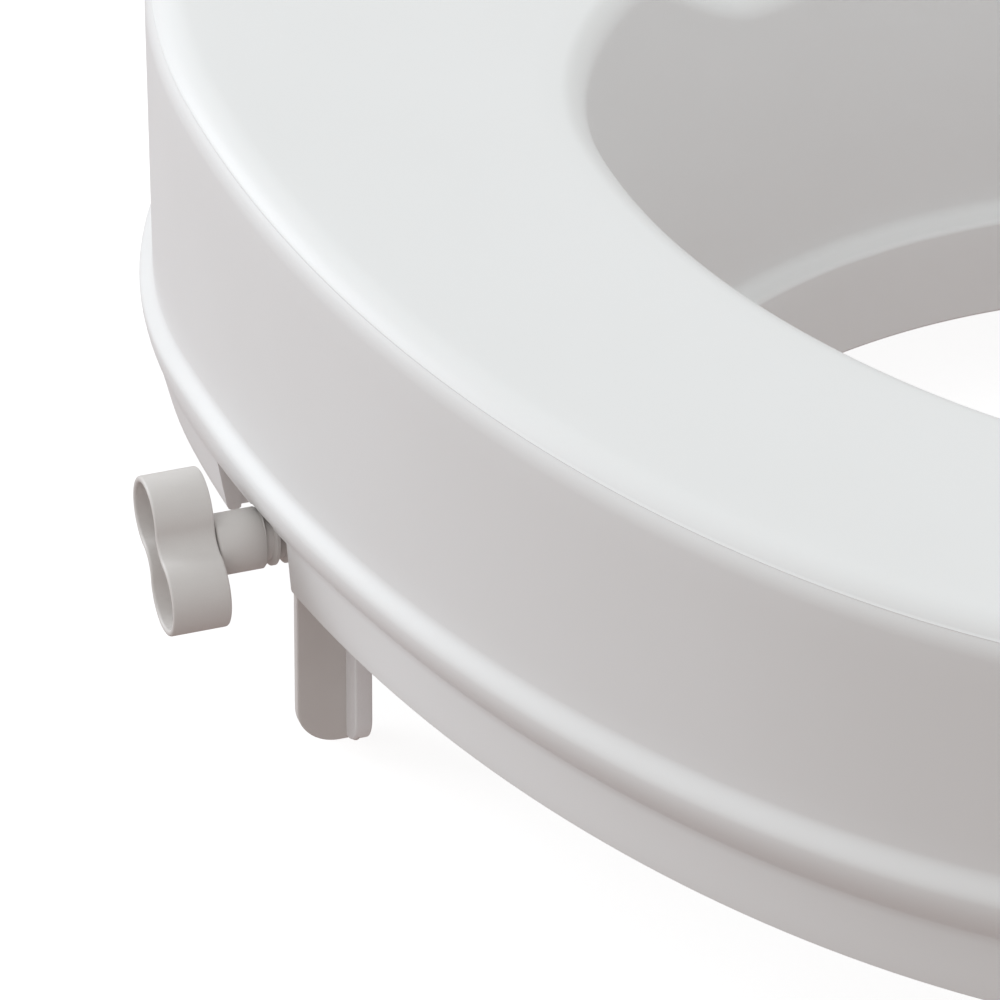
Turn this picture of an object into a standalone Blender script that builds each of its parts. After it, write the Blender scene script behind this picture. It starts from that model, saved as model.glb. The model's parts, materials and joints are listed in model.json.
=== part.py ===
"""Raised toilet seat with two screw clamps.

Metres, +Z up. The seat's long axis is Y with its narrow front at -Y, and the arms' tips are at Z = 0.
The seat is one moulded shell. Each side has a clamp: a hand knob on a spindle that turns in a fixed
guide block, and an arm that the spindle's thread draws in and out.
"""
import bpy
import bmesh
from math import asin, cos, pi, radians, sin
from mathutils import Vector

# ---- driving dimensions: the seat's outline, seen from above ----
SEAT_HALF_WIDTH = 0.1830
FRONT_LENGTH = 0.2668            # from the widest line to the front of the lower skirt
REAR_LENGTH = 0.1543             # from the widest line to the rear of the lower skirt
FRONT_FORM = (-0.034, -0.031)    # narrows the egg's front half: share taken across, share taken along
REAR_FORM = (0.052, 0.052)        # squares the egg's rear half
HOLE_HALF_WIDTH = 0.1100
HOLE_FRONT = 0.1499
HOLE_REAR = 0.0846
HOLE_FRONT_FORM = (-0.040, -0.123)
HOLE_REAR_FORM = (-0.008, -0.009)
HOLE_SET_FORWARD = 0.0456        # from the outline's widest line to the hole's

# ---- driving dimensions: heights above the lower skirt's bottom edge, and walls ----
SEAT_HEIGHT = 0.0905
LOWER_SKIRT_HEIGHT = 0.0126
BEAD_HEIGHT = 0.0118
FRONT_RISE = 0.34            # share by which the lower skirt and the bead grow from the sides to the front
REAR_DROP = 0.22             # share by which they shrink behind the sides
DROP_START = 0.025           # where the drop starts, in front of the widest line
DROP_LENGTH = 0.085
WALL = 0.0028
UPPER_SKIRT_OUT = 0.0015         # outside the lower skirt
SKIRT_DRAFT = 0.0008             # the upper skirt leans out by this much at its top
BEAD_OUT = 0.0043                # outside the lower skirt
EDGE_RADIUS = 0.008
LIP_RADIUS = 0.0056
FUNNEL_INSET = 0.0065
STEP_HEIGHT = 0.002
STEP_WIDTH = 0.0050
COLLAR_DROP = 0.020              # below the lower skirt's bottom edge
COLLAR_TAPER = 0.0015
RECESS_DEPTH = 0.024            # the top sinks by this much at the rear of the hole
RECESS_FLAT = radians(26)        # half the angle over which the recess has its full depth
RECESS_BLEND = radians(26)       # the angle over which each of its flanks rises

# ---- driving dimensions: shelves, pads and notches under the seat ----
SHELF_HEIGHT = 0.020
SHELF_THICKNESS = 0.003
PAD_BOTTOM = 0.0110
PAD_MARGIN = 0.006
NOTCH_REAR_REACH = 0.0216        # from the screw axis towards the rear
NOTCH_FRONT_REACH = 0.0104

# ---- driving dimensions: the screw clamps ----
AXIS_FORWARD = 0.0430            # from the outline's widest line to the screw axis
AXIS_HEIGHT = 0.0078             # above the lower skirt's bottom edge
SPINDLE_RADIUS = 0.0064
THREAD_ROOT = 0.0050
THREAD_CREST = 0.0062
THREAD_PITCH = 0.0030
THREAD_SHOW = 0.0018         # thread seen between the skirt and the hub
RIDGE_BASE = 0.0019
RIDGE_TOP = 0.0009
JOURNAL_RADIUS = 0.0039
GROOVE_RADIUS = 0.0029
CLIP_RADIUS = 0.0062
CLIP_THICKNESS = 0.0014
HUB_OUTSIDE = 0.0118             # the hub's length outside the lower skirt
KNOB_DEPTH = 0.0124
KNOB_LOBE_RADIUS = 0.0084
KNOB_LOBE_CENTRE = 0.0083
KNOB_WAIST = 0.0056
KNOB_WALL = 0.0014
KNOB_FLOOR = 0.0030
KNOB_TURN = radians(135)
SPIGOT_WIDTH = 0.0060
SPIGOT_LENGTH = 0.0026
KNOB_SCREW_RADIUS = 0.0014
KNOB_SCREW_LENGTH = 0.0095
KNOB_SCREW_HEAD = 0.0039
SCREW_HEAD_THICKNESS = 0.0018
ARM_DROP = 0.0457                 # the arm's tip below the lower skirt's bottom edge
ARM_OUTER_GAP = 0.0054           # from the lower skirt's outer face to the rib
RIB_DEPTH = 0.0110
RIB_THICKNESS = 0.0026
PLATE_THICKNESS = 0.0018
PLATE_WIDTH = 0.0140
TIP_RADIUS = 0.0090
HEAD_WIDTH = 0.0170
ARM_PAD_THICKNESS = 0.0010
ARM_PAD_TOP = 0.020              # below the screw axis
INWARD_TRAVEL = 0.0060
BLOCK_LENGTH = 0.0100
BLOCK_WIDTH = 0.0220
BLOCK_HANG = 0.0080              # below the screw axis
BLOCK_SCREW_RADIUS = 0.0016
BLOCK_SCREW_HEAD = 0.0030
BLOCK_SCREW_SPREAD = 0.0074

# ---- clearances ----
GAP = 0.0003                     # between pieces that touch
RUNNING_GAP = 0.0003             # around a turning shaft and in the thread
SLIDE_GAP = 0.0005
END_GAP = 0.0012                 # between the arm and the guide block at full travel

# ---- fineness ----
COLUMNS = 96
THREAD_STEPS = 12
ROUND = 24

# ---- worked out ----
Y_WIDEST = (FRONT_LENGTH - REAR_LENGTH) / 2
Z_SKIRT = ARM_DROP
Y_AXIS = Y_WIDEST - AXIS_FORWARD
Z_AXIS = Z_SKIRT + AXIS_HEIGHT


def egg_point(angle, half_width, front, rear, front_form, rear_form):
    """A point on an egg outline whose widest line is at y = 0 and whose front is at -y."""
    across, along = rear_form if sin(angle) >= 0 else front_form
    length = rear if sin(angle) >= 0 else front
    x = half_width * cos(angle) * (1 + across * sin(angle) ** 2)
    y = length * sin(angle) * (1 + along * cos(angle) ** 2)
    return Vector((x, y))


def outline_point(angle, outward):
    """A point of the seat's outline, moved outward along the outline's normal."""
    sizes = (SEAT_HALF_WIDTH, FRONT_LENGTH, REAR_LENGTH, FRONT_FORM, REAR_FORM)
    return moved_point(angle, outward, sizes) + Vector((0, Y_WIDEST))


def hole_point(angle, inward):
    """A point of the hole's outline, moved inward, towards the middle of the hole."""
    sizes = (HOLE_HALF_WIDTH, HOLE_FRONT, HOLE_REAR, HOLE_FRONT_FORM, HOLE_REAR_FORM)
    return moved_point(angle, -inward, sizes) + Vector((0, Y_WIDEST - HOLE_SET_FORWARD))


def moved_point(angle, outward, sizes):
    step = radians(0.5)
    along = egg_point(angle + step, *sizes) - egg_point(angle - step, *sizes)
    normal = Vector((along.y, -along.x)).normalized()
    return egg_point(angle, *sizes) + outward * normal


def outline_angle(y_forward):
    """The outline's angle at a distance in front of the widest line, on the right side."""
    return -asin(y_forward / (FRONT_LENGTH * (1 + FRONT_FORM[1])))


def rise(y):
    """How much taller the lower skirt and the bead are at this place along the seat."""
    forward = (Y_WIDEST - y) / FRONT_LENGTH
    behind = min(max((y - Y_WIDEST + DROP_START) / DROP_LENGTH, 0), 1)
    return 1 + FRONT_RISE * forward - REAR_DROP * smooth(behind)


def recess_drop(angle, share):
    """How far the top sinks at the rear of the hole. share is 0 at the outer edge and 1 at the lip."""
    beside = abs((angle - pi / 2 + pi) % (2 * pi) - pi) - RECESS_FLAT
    flank = 1 - min(max(beside / RECESS_BLEND, 0), 1)
    return RECESS_DEPTH * smooth(flank) * smooth(share)


def smooth(share):
    """Eases a share from 0 to 1 with level ends."""
    return share * share * (3 - 2 * share)


def funnel_inset(z):
    """How far the funnel wall stands inside the hole's lip at a height above the skirt's bottom."""
    lip = SEAT_HEIGHT - LIP_RADIUS
    return FUNNEL_INSET * (lip - z) / (lip - STEP_HEIGHT)


def outer_side(angle):
    """The outer side from the bottom edge up to the start of the top, as (outward, height)."""
    y = outline_point(angle, 0).y
    crease = LOWER_SKIRT_HEIGHT * rise(y)
    bead = BEAD_HEIGHT * rise(y)
    points = [(0, 0), (0, crease)]
    for share, out in ((0.10, 0.50), (0.35, 0.85), (0.62, 1.0), (0.85, 0.80)):
        points.append((BEAD_OUT * out, crease + bead * share))
    points.append((UPPER_SKIRT_OUT, crease + bead))
    top_out = UPPER_SKIRT_OUT + SKIRT_DRAFT
    for step in range(5):
        turn = pi / 2 * step / 4
        out = top_out - EDGE_RADIUS * (1 - cos(turn))
        points.append((out, SEAT_HEIGHT - EDGE_RADIUS * (1 - sin(turn))))
    return points


def inner_side():
    """The lip, the funnel, the step and the collar, as (inward, height), from the top down."""
    points = []
    for step in range(5):
        turn = pi / 2 * step / 4
        inward = -LIP_RADIUS * (1 - sin(turn))
        points.append((inward, SEAT_HEIGHT - LIP_RADIUS * (1 - cos(turn))))
    points.append((FUNNEL_INSET, STEP_HEIGHT))
    points.append((FUNNEL_INSET + STEP_WIDTH * 0.4, STEP_HEIGHT - 0.0020))
    points.append((FUNNEL_INSET + STEP_WIDTH, STEP_HEIGHT - 0.0030))
    points.append((FUNNEL_INSET + STEP_WIDTH + COLLAR_TAPER, -COLLAR_DROP))
    return points


def shell_section(angle):
    """One closed loop of 3-D points: up the outside, over the top, down the collar, and back inside."""
    loop = []

    def add(flat, height, share):
        drop = recess_drop(angle, share)
        loop.append(Vector((flat.x, flat.y, Z_SKIRT + height - drop)))

    grow = rise(outline_point(angle, 0).y)
    outside = outer_side(angle)
    inside = inner_side()
    for outward, height in outside:
        add(outline_point(angle, outward), height, 0)
    edge = outline_point(angle, outside[-1][0])
    lip = hole_point(angle, inside[0][0])
    for share in (0.33, 0.66):
        add(edge.lerp(lip, share), SEAT_HEIGHT, share)
    for index, (inward, height) in enumerate(inside):
        add(hole_point(angle, inward), height, 1 if index < 5 else 0)
    # the hollow's side of the same walls
    collar = inside[-1][0] - WALL
    add(hole_point(angle, collar), -COLLAR_DROP, 0)
    add(hole_point(angle, FUNNEL_INSET + STEP_WIDTH - WALL), STEP_HEIGHT - 0.0030 - WALL, 0)
    add(hole_point(angle, FUNNEL_INSET - WALL), STEP_HEIGHT, 0)
    under = SEAT_HEIGHT - WALL
    add(hole_point(angle, -WALL), under - LIP_RADIUS, 1)
    add(hole_point(angle, -LIP_RADIUS), under, 1)
    for share in (0.66, 0.33):
        add(edge.lerp(lip, share), under, share)
    wall_inside = UPPER_SKIRT_OUT + SKIRT_DRAFT - WALL
    add(outline_point(angle, wall_inside - EDGE_RADIUS / 2), under, 0)
    add(outline_point(angle, wall_inside), SEAT_HEIGHT - EDGE_RADIUS, 0)
    bead_top = (LOWER_SKIRT_HEIGHT + BEAD_HEIGHT) * grow
    add(outline_point(angle, UPPER_SKIRT_OUT - WALL), bead_top, 0)
    add(outline_point(angle, -WALL), LOWER_SKIRT_HEIGHT * grow, 0)
    add(outline_point(angle, -WALL), 0, 0)
    return loop


def material(name, colour, roughness, metallic=0.0):
    made = bpy.data.materials.new(name)
    made.use_nodes = True
    shader = made.node_tree.nodes["Principled BSDF"]
    shader.inputs["Base Color"].default_value = (*colour, 1)
    shader.inputs["Roughness"].default_value = roughness
    shader.inputs["Metallic"].default_value = metallic
    return made


def add_object(name, points, faces, finish=None, parent=None):
    """A closed mesh whose faces all point outward."""
    mesh = bpy.data.meshes.new(name)
    mesh.from_pydata([tuple(point) for point in points], [], faces)
    form = bmesh.new()
    form.from_mesh(mesh)
    bmesh.ops.recalc_face_normals(form, faces=form.faces)
    form.to_mesh(mesh)
    form.free()
    made = bpy.data.objects.new(name, mesh)
    bpy.context.scene.collection.objects.link(made)
    if finish:
        mesh.materials.append(finish)
        mesh.shade_smooth()
        mesh.set_sharp_from_angle(angle=radians(35))
    made.parent = parent
    return made


def skin_loops(loops, closed_ring):
    """Faces between neighbouring loops of equal length. A strip that isn't a ring gets two end caps."""
    size = len(loops[0])
    count = len(loops)
    faces = []
    for row in range(count if closed_ring else count - 1):
        after = (row + 1) % count
        for col in range(size):
            beside = (col + 1) % size
            faces.append((row * size + col, row * size + beside, after * size + beside, after * size + col))
    if not closed_ring:
        faces.append(tuple(range(size)))
        faces.append(tuple(range((count - 1) * size, count * size)))
    points = [point for loop in loops for point in loop]
    return points, faces


def turned(name, stations, finish=None, parent=None, sides=ROUND):
    """A solid of revolution around the local X axis. stations are (distance along X, radius)."""
    loops = []
    for u, radius in stations:
        ring = []
        for step in range(sides):
            turn = 2 * pi * step / sides
            ring.append(Vector((u, radius * cos(turn), radius * sin(turn))))
        loops.append(ring)
    return add_object(name, *skin_loops(loops, False), finish, parent)


def upright_pin(name, centre, stations, finish=None, parent=None, sides=ROUND):
    """A solid of revolution around a vertical line. stations are (height, radius)."""
    loops = []
    for height, radius in stations:
        ring = []
        for step in range(sides):
            turn = 2 * pi * step / sides
            ring.append(Vector((centre[0] + radius * cos(turn), centre[1] + radius * sin(turn), height)))
        loops.append(ring)
    return add_object(name, *skin_loops(loops, False), finish, parent)


def block(name, low, high, finish=None, parent=None):
    loops = []
    for z in (low[2], high[2]):
        corners = ((low[0], low[1]), (high[0], low[1]), (high[0], high[1]), (low[0], high[1]))
        loops.append([Vector((x, y, z)) for x, y in corners])
    return add_object(name, *skin_loops(loops, False), finish, parent)


def combine(target, tool, operation):
    """A Boolean modifier. Its tool stays in the scene as a hidden wire shape."""
    tool.hide_render = True
    tool.display_type = "WIRE"
    modifier = target.modifiers.new(operation.lower() + "_" + tool.name, "BOOLEAN")
    modifier.operation = operation
    modifier.solver = "EXACT"
    modifier.object = tool


def helical_ridge(name, start, end, clearance, parent, run_out):
    """The thread's ridge as a closed strip wound around the local X axis, a left-hand helix.

    Its turns pass through the same places for any start, so that a cut with it fits the thread.
    """
    turns = (start - end) / THREAD_PITCH
    steps = int(turns * THREAD_STEPS)
    loops = []
    for step in range(steps + 1):
        u = start - THREAD_PITCH * step / THREAD_STEPS
        turn = -2 * pi * u / THREAD_PITCH
        crest = THREAD_CREST + clearance
        if run_out:
            left = min(1, (steps - step) / (THREAD_STEPS / 2))
            crest = THREAD_ROOT - 0.0002 + (crest - THREAD_ROOT + 0.0002) * left
        low = THREAD_ROOT - 0.0006
        base = RIDGE_BASE / 2 + clearance
        top = RIDGE_TOP / 2 + clearance
        section = []
        for along, radius in ((-base, low), (-top, crest), (top, crest), (base, low)):
            section.append(Vector((u + along, radius * cos(turn), radius * sin(turn))))
        loops.append(section)
    return add_object(name, *skin_loops(loops, False), None, parent)


def sector(name, first, last, outer_out, inner_in, low, high, finish=None, steps=12):
    """A slab between the skirt and the funnel wall, from one outline angle to another."""
    loops = []
    for step in range(steps + 1):
        angle = first + (last - first) * step / steps
        out = outline_point(angle, outer_out)
        inn = hole_point(angle, inner_in)
        corners = ((out, low), (out, high), (inn, high), (inn, low))
        loops.append([Vector((flat.x, flat.y, height)) for flat, height in corners])
    return add_object(name, *skin_loops(loops, False), finish)


def arc(centre, radius, first, last, steps):
    points = []
    for step in range(steps + 1):
        turn = first + (last - first) * step / steps
        points.append((centre[0] + radius * cos(turn), centre[1] + radius * sin(turn)))
    return points


def knob_outline(grow):
    """The hand knob's bow-tie outline: two round lobes and a waist between them, all of arcs."""
    lobe = KNOB_LOBE_RADIUS + grow
    waist = KNOB_WAIST + grow
    centre = KNOB_LOBE_CENTRE
    # the waist's arc touches both lobes: its radius follows from the distance between the centres
    hollow = (centre ** 2 + waist ** 2 - lobe ** 2) / (2 * (lobe - waist))
    lift = waist + hollow
    lean = asin(centre / (lobe + hollow))
    points = arc((centre, 0), lobe, -pi / 2 - lean, pi / 2 + lean, 14)
    points += arc((0, lift), hollow, -pi / 2 + lean, -pi / 2 - lean, 6)[1:-1]
    points += arc((-centre, 0), lobe, pi / 2 - lean, 3 * pi / 2 + lean, 14)
    points += arc((0, -lift), hollow, pi / 2 + lean, pi / 2 - lean, 6)[1:-1]
    turned_points = []
    for p, q in points:
        turned_points.append((p * cos(KNOB_TURN) - q * sin(KNOB_TURN), p * sin(KNOB_TURN) + q * cos(KNOB_TURN)))
    return turned_points


def extruded_along_x(name, outline, start, end, finish=None, parent=None):
    loops = [[Vector((u, v, w)) for v, w in outline] for u in (start, end)]
    return add_object(name, *skin_loops(loops, False), finish, parent)


def extruded_along_y(name, outline, start, end, finish=None, parent=None):
    loops = [[Vector((u, v, w)) for u, w in outline] for v in (start, end)]
    return add_object(name, *skin_loops(loops, False), finish, parent)


# ---- places along the screw axis, as distances from the seat's middle plane ----
AXIS_ANGLE = outline_angle(AXIS_FORWARD)
U_SKIRT = outline_point(AXIS_ANGLE, 0).x
U_HUB_END = U_SKIRT + HUB_OUTSIDE
U_THREAD_START = U_SKIRT + THREAD_SHOW
U_RIB = U_SKIRT - ARM_OUTER_GAP
U_PLATE = U_RIB - RIB_DEPTH
U_HEAD = U_PLATE - PLATE_THICKNESS
U_BLOCK = U_HEAD - INWARD_TRAVEL - END_GAP
U_BLOCK_END = U_BLOCK - BLOCK_LENGTH
U_CLIP = U_BLOCK_END - SLIDE_GAP
U_CLIP_END = U_CLIP - CLIP_THICKNESS
U_SPINDLE_END = U_CLIP_END - 0.0020
U_KNOB = U_HUB_END + GAP
W_SHELF = SHELF_HEIGHT - AXIS_HEIGHT
W_TIP = -ARM_DROP - AXIS_HEIGHT


def make_seat_shell(finish):
    loops = [shell_section(2 * pi * column / COLUMNS) for column in range(COLUMNS)]
    shell = add_object("seat_shell", *skin_loops(loops, True), finish)
    for name, first, last in SHELF_SPANS:
        low = Z_SKIRT + SHELF_HEIGHT
        inner = funnel_inset(SHELF_HEIGHT) - WALL / 2
        shelf = sector("shelf_" + name, first, last, -WALL / 2, inner, low, low + SHELF_THICKNESS)
        combine(shell, shelf, "UNION")
    for side, turn in SIDES:
        combine(shell, make_notch(side, turn), "DIFFERENCE")
        combine(shell, make_spindle_channel(side, turn), "DIFFERENCE")
        for label, spread in SCREW_PAIR:
            centre = ((U_BLOCK + U_BLOCK_END) / 2, spread)
            ends = ((W_SHELF - 0.002, BLOCK_SCREW_RADIUS + GAP), (W_SHELF + 0.006, BLOCK_SCREW_RADIUS + GAP))
            hole = upright_pin("shelf_hole_%s_%s" % (side, label), centre, ends, sides=16)
            place(hole, turn)
            combine(shell, hole, "DIFFERENCE")
    return shell


def make_notch(side, turn):
    """Cuts the lower skirt away around the screw, up to the bead. Its front side is at -Y."""
    forward = -1 if turn == 0 else 1
    reach = sorted((forward * NOTCH_FRONT_REACH, -forward * NOTCH_REAR_REACH))
    low = (U_SKIRT - 0.012, reach[0], -AXIS_HEIGHT - 0.004)
    high = (U_SKIRT + 0.012, reach[1], LOWER_SKIRT_HEIGHT - AXIS_HEIGHT)
    notch = block("notch_" + side, low, high)
    place(notch, turn)
    return notch


def make_spindle_channel(side, turn):
    """Rounds the notch's roof over the spindle, under the bead."""
    radius = SPINDLE_RADIUS + 2 * RUNNING_GAP
    channel = turned("channel_" + side, ((U_SKIRT + 0.012, radius), (U_SKIRT - 0.008, radius)))
    place(channel, turn)
    return channel


def place(piece, turn):
    """Puts a clamp piece on its screw axis. Its local +X points outward from the seat."""
    piece.location = (0, Y_AXIS, Z_AXIS)
    piece.rotation_euler = (0, 0, turn)


def make_rim_pad(name, first, last, finish):
    """A soft block under a shelf, which rests on the bowl's rim."""
    margin = PAD_MARGIN / SEAT_HALF_WIDTH
    low = Z_SKIRT + PAD_BOTTOM
    high = Z_SKIRT + SHELF_HEIGHT - GAP
    inner = funnel_inset(SHELF_HEIGHT) - WALL - PAD_MARGIN
    return sector("rim_pad_" + name, first + margin, last - margin, -WALL - PAD_MARGIN, inner, low, high, finish)


def make_guide_block(side, turn, finish):
    low = (U_BLOCK_END, -BLOCK_WIDTH / 2, -BLOCK_HANG)
    high = (U_BLOCK, BLOCK_WIDTH / 2, W_SHELF - GAP)
    made = block("guide_block_" + side, low, high, finish)
    bore = JOURNAL_RADIUS + RUNNING_GAP
    cut = turned("bearing_bore_" + side, ((U_BLOCK + 0.002, bore), (U_BLOCK_END - 0.002, bore)))
    combine(made, cut, "DIFFERENCE")
    for label, spread in SCREW_PAIR:
        centre = ((U_BLOCK + U_BLOCK_END) / 2, spread)
        radius = BLOCK_SCREW_RADIUS + GAP
        hole = upright_pin("block_hole_%s_%s" % (side, label), centre,
                           ((-BLOCK_HANG - 0.002, radius), (W_SHELF + 0.002, radius)), sides=16)
        place(hole, turn)
        combine(made, hole, "DIFFERENCE")
    place(cut, turn)
    place(made, turn)
    return made


def make_guide_screw(side, label, spread, turn, finish):
    """A pan-head screw from below, through the block, into the shelf."""
    centre = ((U_BLOCK + U_BLOCK_END) / 2, spread)
    seat = -BLOCK_HANG - GAP
    stations = ((seat - SCREW_HEAD_THICKNESS, BLOCK_SCREW_HEAD * 0.8), (seat - 0.001, BLOCK_SCREW_HEAD),
                (seat, BLOCK_SCREW_HEAD), (seat, BLOCK_SCREW_RADIUS), (W_SHELF + 0.0020, BLOCK_SCREW_RADIUS),
                (W_SHELF + 0.0026, BLOCK_SCREW_RADIUS * 0.5))
    made = upright_pin("guide_screw_%s_%s" % (side, label), centre, stations, finish, sides=16)
    place(made, turn)
    return made


def make_spindle(side, turn, finish):
    """Hub, left-hand thread, journal and clip groove, with a square spigot for the knob."""
    stations = ((U_HUB_END, SPINDLE_RADIUS), (U_THREAD_START, SPINDLE_RADIUS), (U_THREAD_START, THREAD_ROOT),
                (U_BLOCK + GAP, THREAD_ROOT), (U_BLOCK + GAP, JOURNAL_RADIUS), (U_CLIP + GAP, JOURNAL_RADIUS),
                (U_CLIP + GAP, GROOVE_RADIUS), (U_CLIP_END - GAP, GROOVE_RADIUS),
                (U_CLIP_END - GAP, JOURNAL_RADIUS), (U_SPINDLE_END, JOURNAL_RADIUS * 0.9))
    made = turned("spindle_" + side, stations, finish)
    ridge = helical_ridge("thread_" + side, U_THREAD_START + 0.002, U_BLOCK + 0.0022, 0, None, True)
    half = SPIGOT_WIDTH / 2
    spigot = block("spigot_" + side, (U_HUB_END - 0.002, -half, -half), (U_HUB_END + SPIGOT_LENGTH, half, half))
    radius = KNOB_SCREW_RADIUS + GAP
    hole = turned("spindle_hole_" + side, ((U_HUB_END + SPIGOT_LENGTH + 0.002, radius),
                                           (U_KNOB + KNOB_FLOOR - KNOB_SCREW_LENGTH - 0.001, radius)), sides=16)
    for tool, operation in ((ridge, "UNION"), (spigot, "UNION"), (hole, "DIFFERENCE")):
        place(tool, turn)
        combine(made, tool, operation)
    place(made, turn)
    return made


def make_knob(side, turn, finish):
    """A hollow bow-tie cup, open outward, with a square hole in its floor for the spindle's spigot."""
    made = extruded_along_x("knob_" + side, knob_outline(0), U_KNOB, U_KNOB + KNOB_DEPTH, finish)
    hollow = extruded_along_x("knob_hollow_" + side, knob_outline(-KNOB_WALL),
                              U_KNOB + KNOB_FLOOR, U_KNOB + KNOB_DEPTH + 0.002)
    half = SPIGOT_WIDTH / 2 + GAP
    square = block("knob_square_" + side, (U_KNOB - 0.002, -half, -half), (U_KNOB + KNOB_FLOOR + 0.002, half, half))
    for tool in (hollow, square):
        place(tool, turn)
        combine(made, tool, "DIFFERENCE")
    place(made, turn)
    return made


def make_knob_screw(side, turn, finish):
    floor = U_KNOB + KNOB_FLOOR + GAP
    stations = ((floor + SCREW_HEAD_THICKNESS, KNOB_SCREW_HEAD * 0.7), (floor + 0.001, KNOB_SCREW_HEAD),
                (floor, KNOB_SCREW_HEAD), (floor, KNOB_SCREW_RADIUS),
                (floor - KNOB_SCREW_LENGTH, KNOB_SCREW_RADIUS))
    made = turned("knob_screw_" + side, stations, finish, sides=24)
    place(made, turn)
    return made


def make_retaining_clip(side, turn, finish):
    """A C-shaped push-on clip in the spindle's groove."""
    opening = radians(38)
    inner = GROOVE_RADIUS + GAP
    outline = arc((0, 0), CLIP_RADIUS, -pi / 2 + opening, 3 * pi / 2 - opening, 20)
    outline += arc((0, 0), inner, 3 * pi / 2 - opening, -pi / 2 + opening, 20)
    made = extruded_along_x("retaining_clip_" + side, outline, U_CLIP_END, U_CLIP, finish)
    place(made, turn)
    return made


def make_clamp_arm(side, turn, finish):
    """The threaded head, and below it a T-section leg with a round tip."""
    head_low = (U_HEAD, -HEAD_WIDTH / 2, -SPINDLE_RADIUS - 0.0035)
    head_high = (U_RIB, HEAD_WIDTH / 2, W_SHELF - SLIDE_GAP)
    made = block("clamp_arm_" + side, head_low, head_high, finish)
    half = PLATE_WIDTH / 2
    plate_outline = [(half, head_low[2] + 0.002), (half, W_TIP + half)]
    plate_outline += arc((0, W_TIP + half), half, 0, -pi, 12)[1:-1]
    plate_outline += [(-half, W_TIP + half), (-half, head_low[2] + 0.002)]
    plate = extruded_along_x("arm_plate_" + side, plate_outline, U_HEAD, U_PLATE)
    rib_outline = [(U_RIB, head_low[2] + 0.002)]
    rib_outline += arc((U_RIB - TIP_RADIUS, W_TIP + TIP_RADIUS), TIP_RADIUS, 0, -pi / 2, 8)
    rib_outline += [(U_PLATE - PLATE_THICKNESS / 2, W_TIP), (U_PLATE - PLATE_THICKNESS / 2, head_low[2] + 0.002)]
    rib = extruded_along_y("arm_rib_" + side, rib_outline, -RIB_THICKNESS / 2, RIB_THICKNESS / 2)
    radius = THREAD_ROOT + RUNNING_GAP
    bore = turned("arm_bore_" + side, ((U_RIB + 0.003, radius), (U_HEAD - 0.003, radius)))
    female = helical_ridge("arm_thread_" + side, U_RIB + 0.003, U_HEAD - 0.003, RUNNING_GAP, None, False)
    tools = ((plate, "UNION"), (rib, "UNION"), (bore, "DIFFERENCE"), (female, "DIFFERENCE"))
    for tool, operation in tools:
        place(tool, turn)
        combine(made, tool, operation)
    place(made, turn)
    return made


def make_arm_pad(side, turn, finish):
    """A thin soft pad on the leg's inner face, with the leg's round tip."""
    half = PLATE_WIDTH / 2 - 0.0005
    centre = W_TIP + PLATE_WIDTH / 2
    outline = [(half, -ARM_PAD_TOP)] + arc((0, centre), half, 0, -pi, 12) + [(-half, -ARM_PAD_TOP)]
    face = U_HEAD - GAP
    made = extruded_along_x("arm_pad_" + side, outline, face - ARM_PAD_THICKNESS, face, finish)
    place(made, turn)
    return made


SIDES = (("right", 0.0), ("left", pi))
SCREW_PAIR = (("a", -BLOCK_SCREW_SPREAD), ("b", BLOCK_SCREW_SPREAD))
PAD_SPANS = (("front", radians(-104), radians(-76)), ("rear", radians(70), radians(110)),
             ("right", radians(-48), radians(-30)), ("left", radians(-150), radians(-132)))
CLAMP_SPANS = (("clamp_right", radians(-15), radians(-1)), ("clamp_left", radians(-179), radians(-165)))
SHELF_SPANS = PAD_SPANS + CLAMP_SPANS


def build():
    for old in list(bpy.data.objects):
        bpy.data.objects.remove(old)
    white = material("white_plastic", (0.80, 0.80, 0.80), 0.34)
    grey = material("warm_grey_plastic", (0.52, 0.50, 0.49), 0.42)
    rubber = material("soft_pad", (0.30, 0.30, 0.31), 0.8)
    steel = material("zinc_steel", (0.62, 0.62, 0.60), 0.35, 1.0)
    make_seat_shell(white)
    for name, first, last in PAD_SPANS:
        make_rim_pad(name, first, last, rubber)
    for side, turn in SIDES:
        make_guide_block(side, turn, grey)
        for label, spread in SCREW_PAIR:
            make_guide_screw(side, label, spread, turn, steel)
        make_spindle(side, turn, grey)
        make_knob(side, turn, grey)
        make_knob_screw(side, turn, steel)
        make_retaining_clip(side, turn, steel)
        make_clamp_arm(side, turn, grey)
        make_arm_pad(side, turn, rubber)


build()
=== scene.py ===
# %% [markdown]
# # A raised toilet seat with two screw clamps
#
# The real object is one white plastic moulding: a ring with a deep skirt, a bead low on the skirt and
# a collar that hangs into the bowl. Two grey screw clamps go through notches in the skirt. This lesson
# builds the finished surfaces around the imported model, which gives every place and size.

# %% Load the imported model
import json
from math import asin, cos, pi, radians, sin

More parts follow.
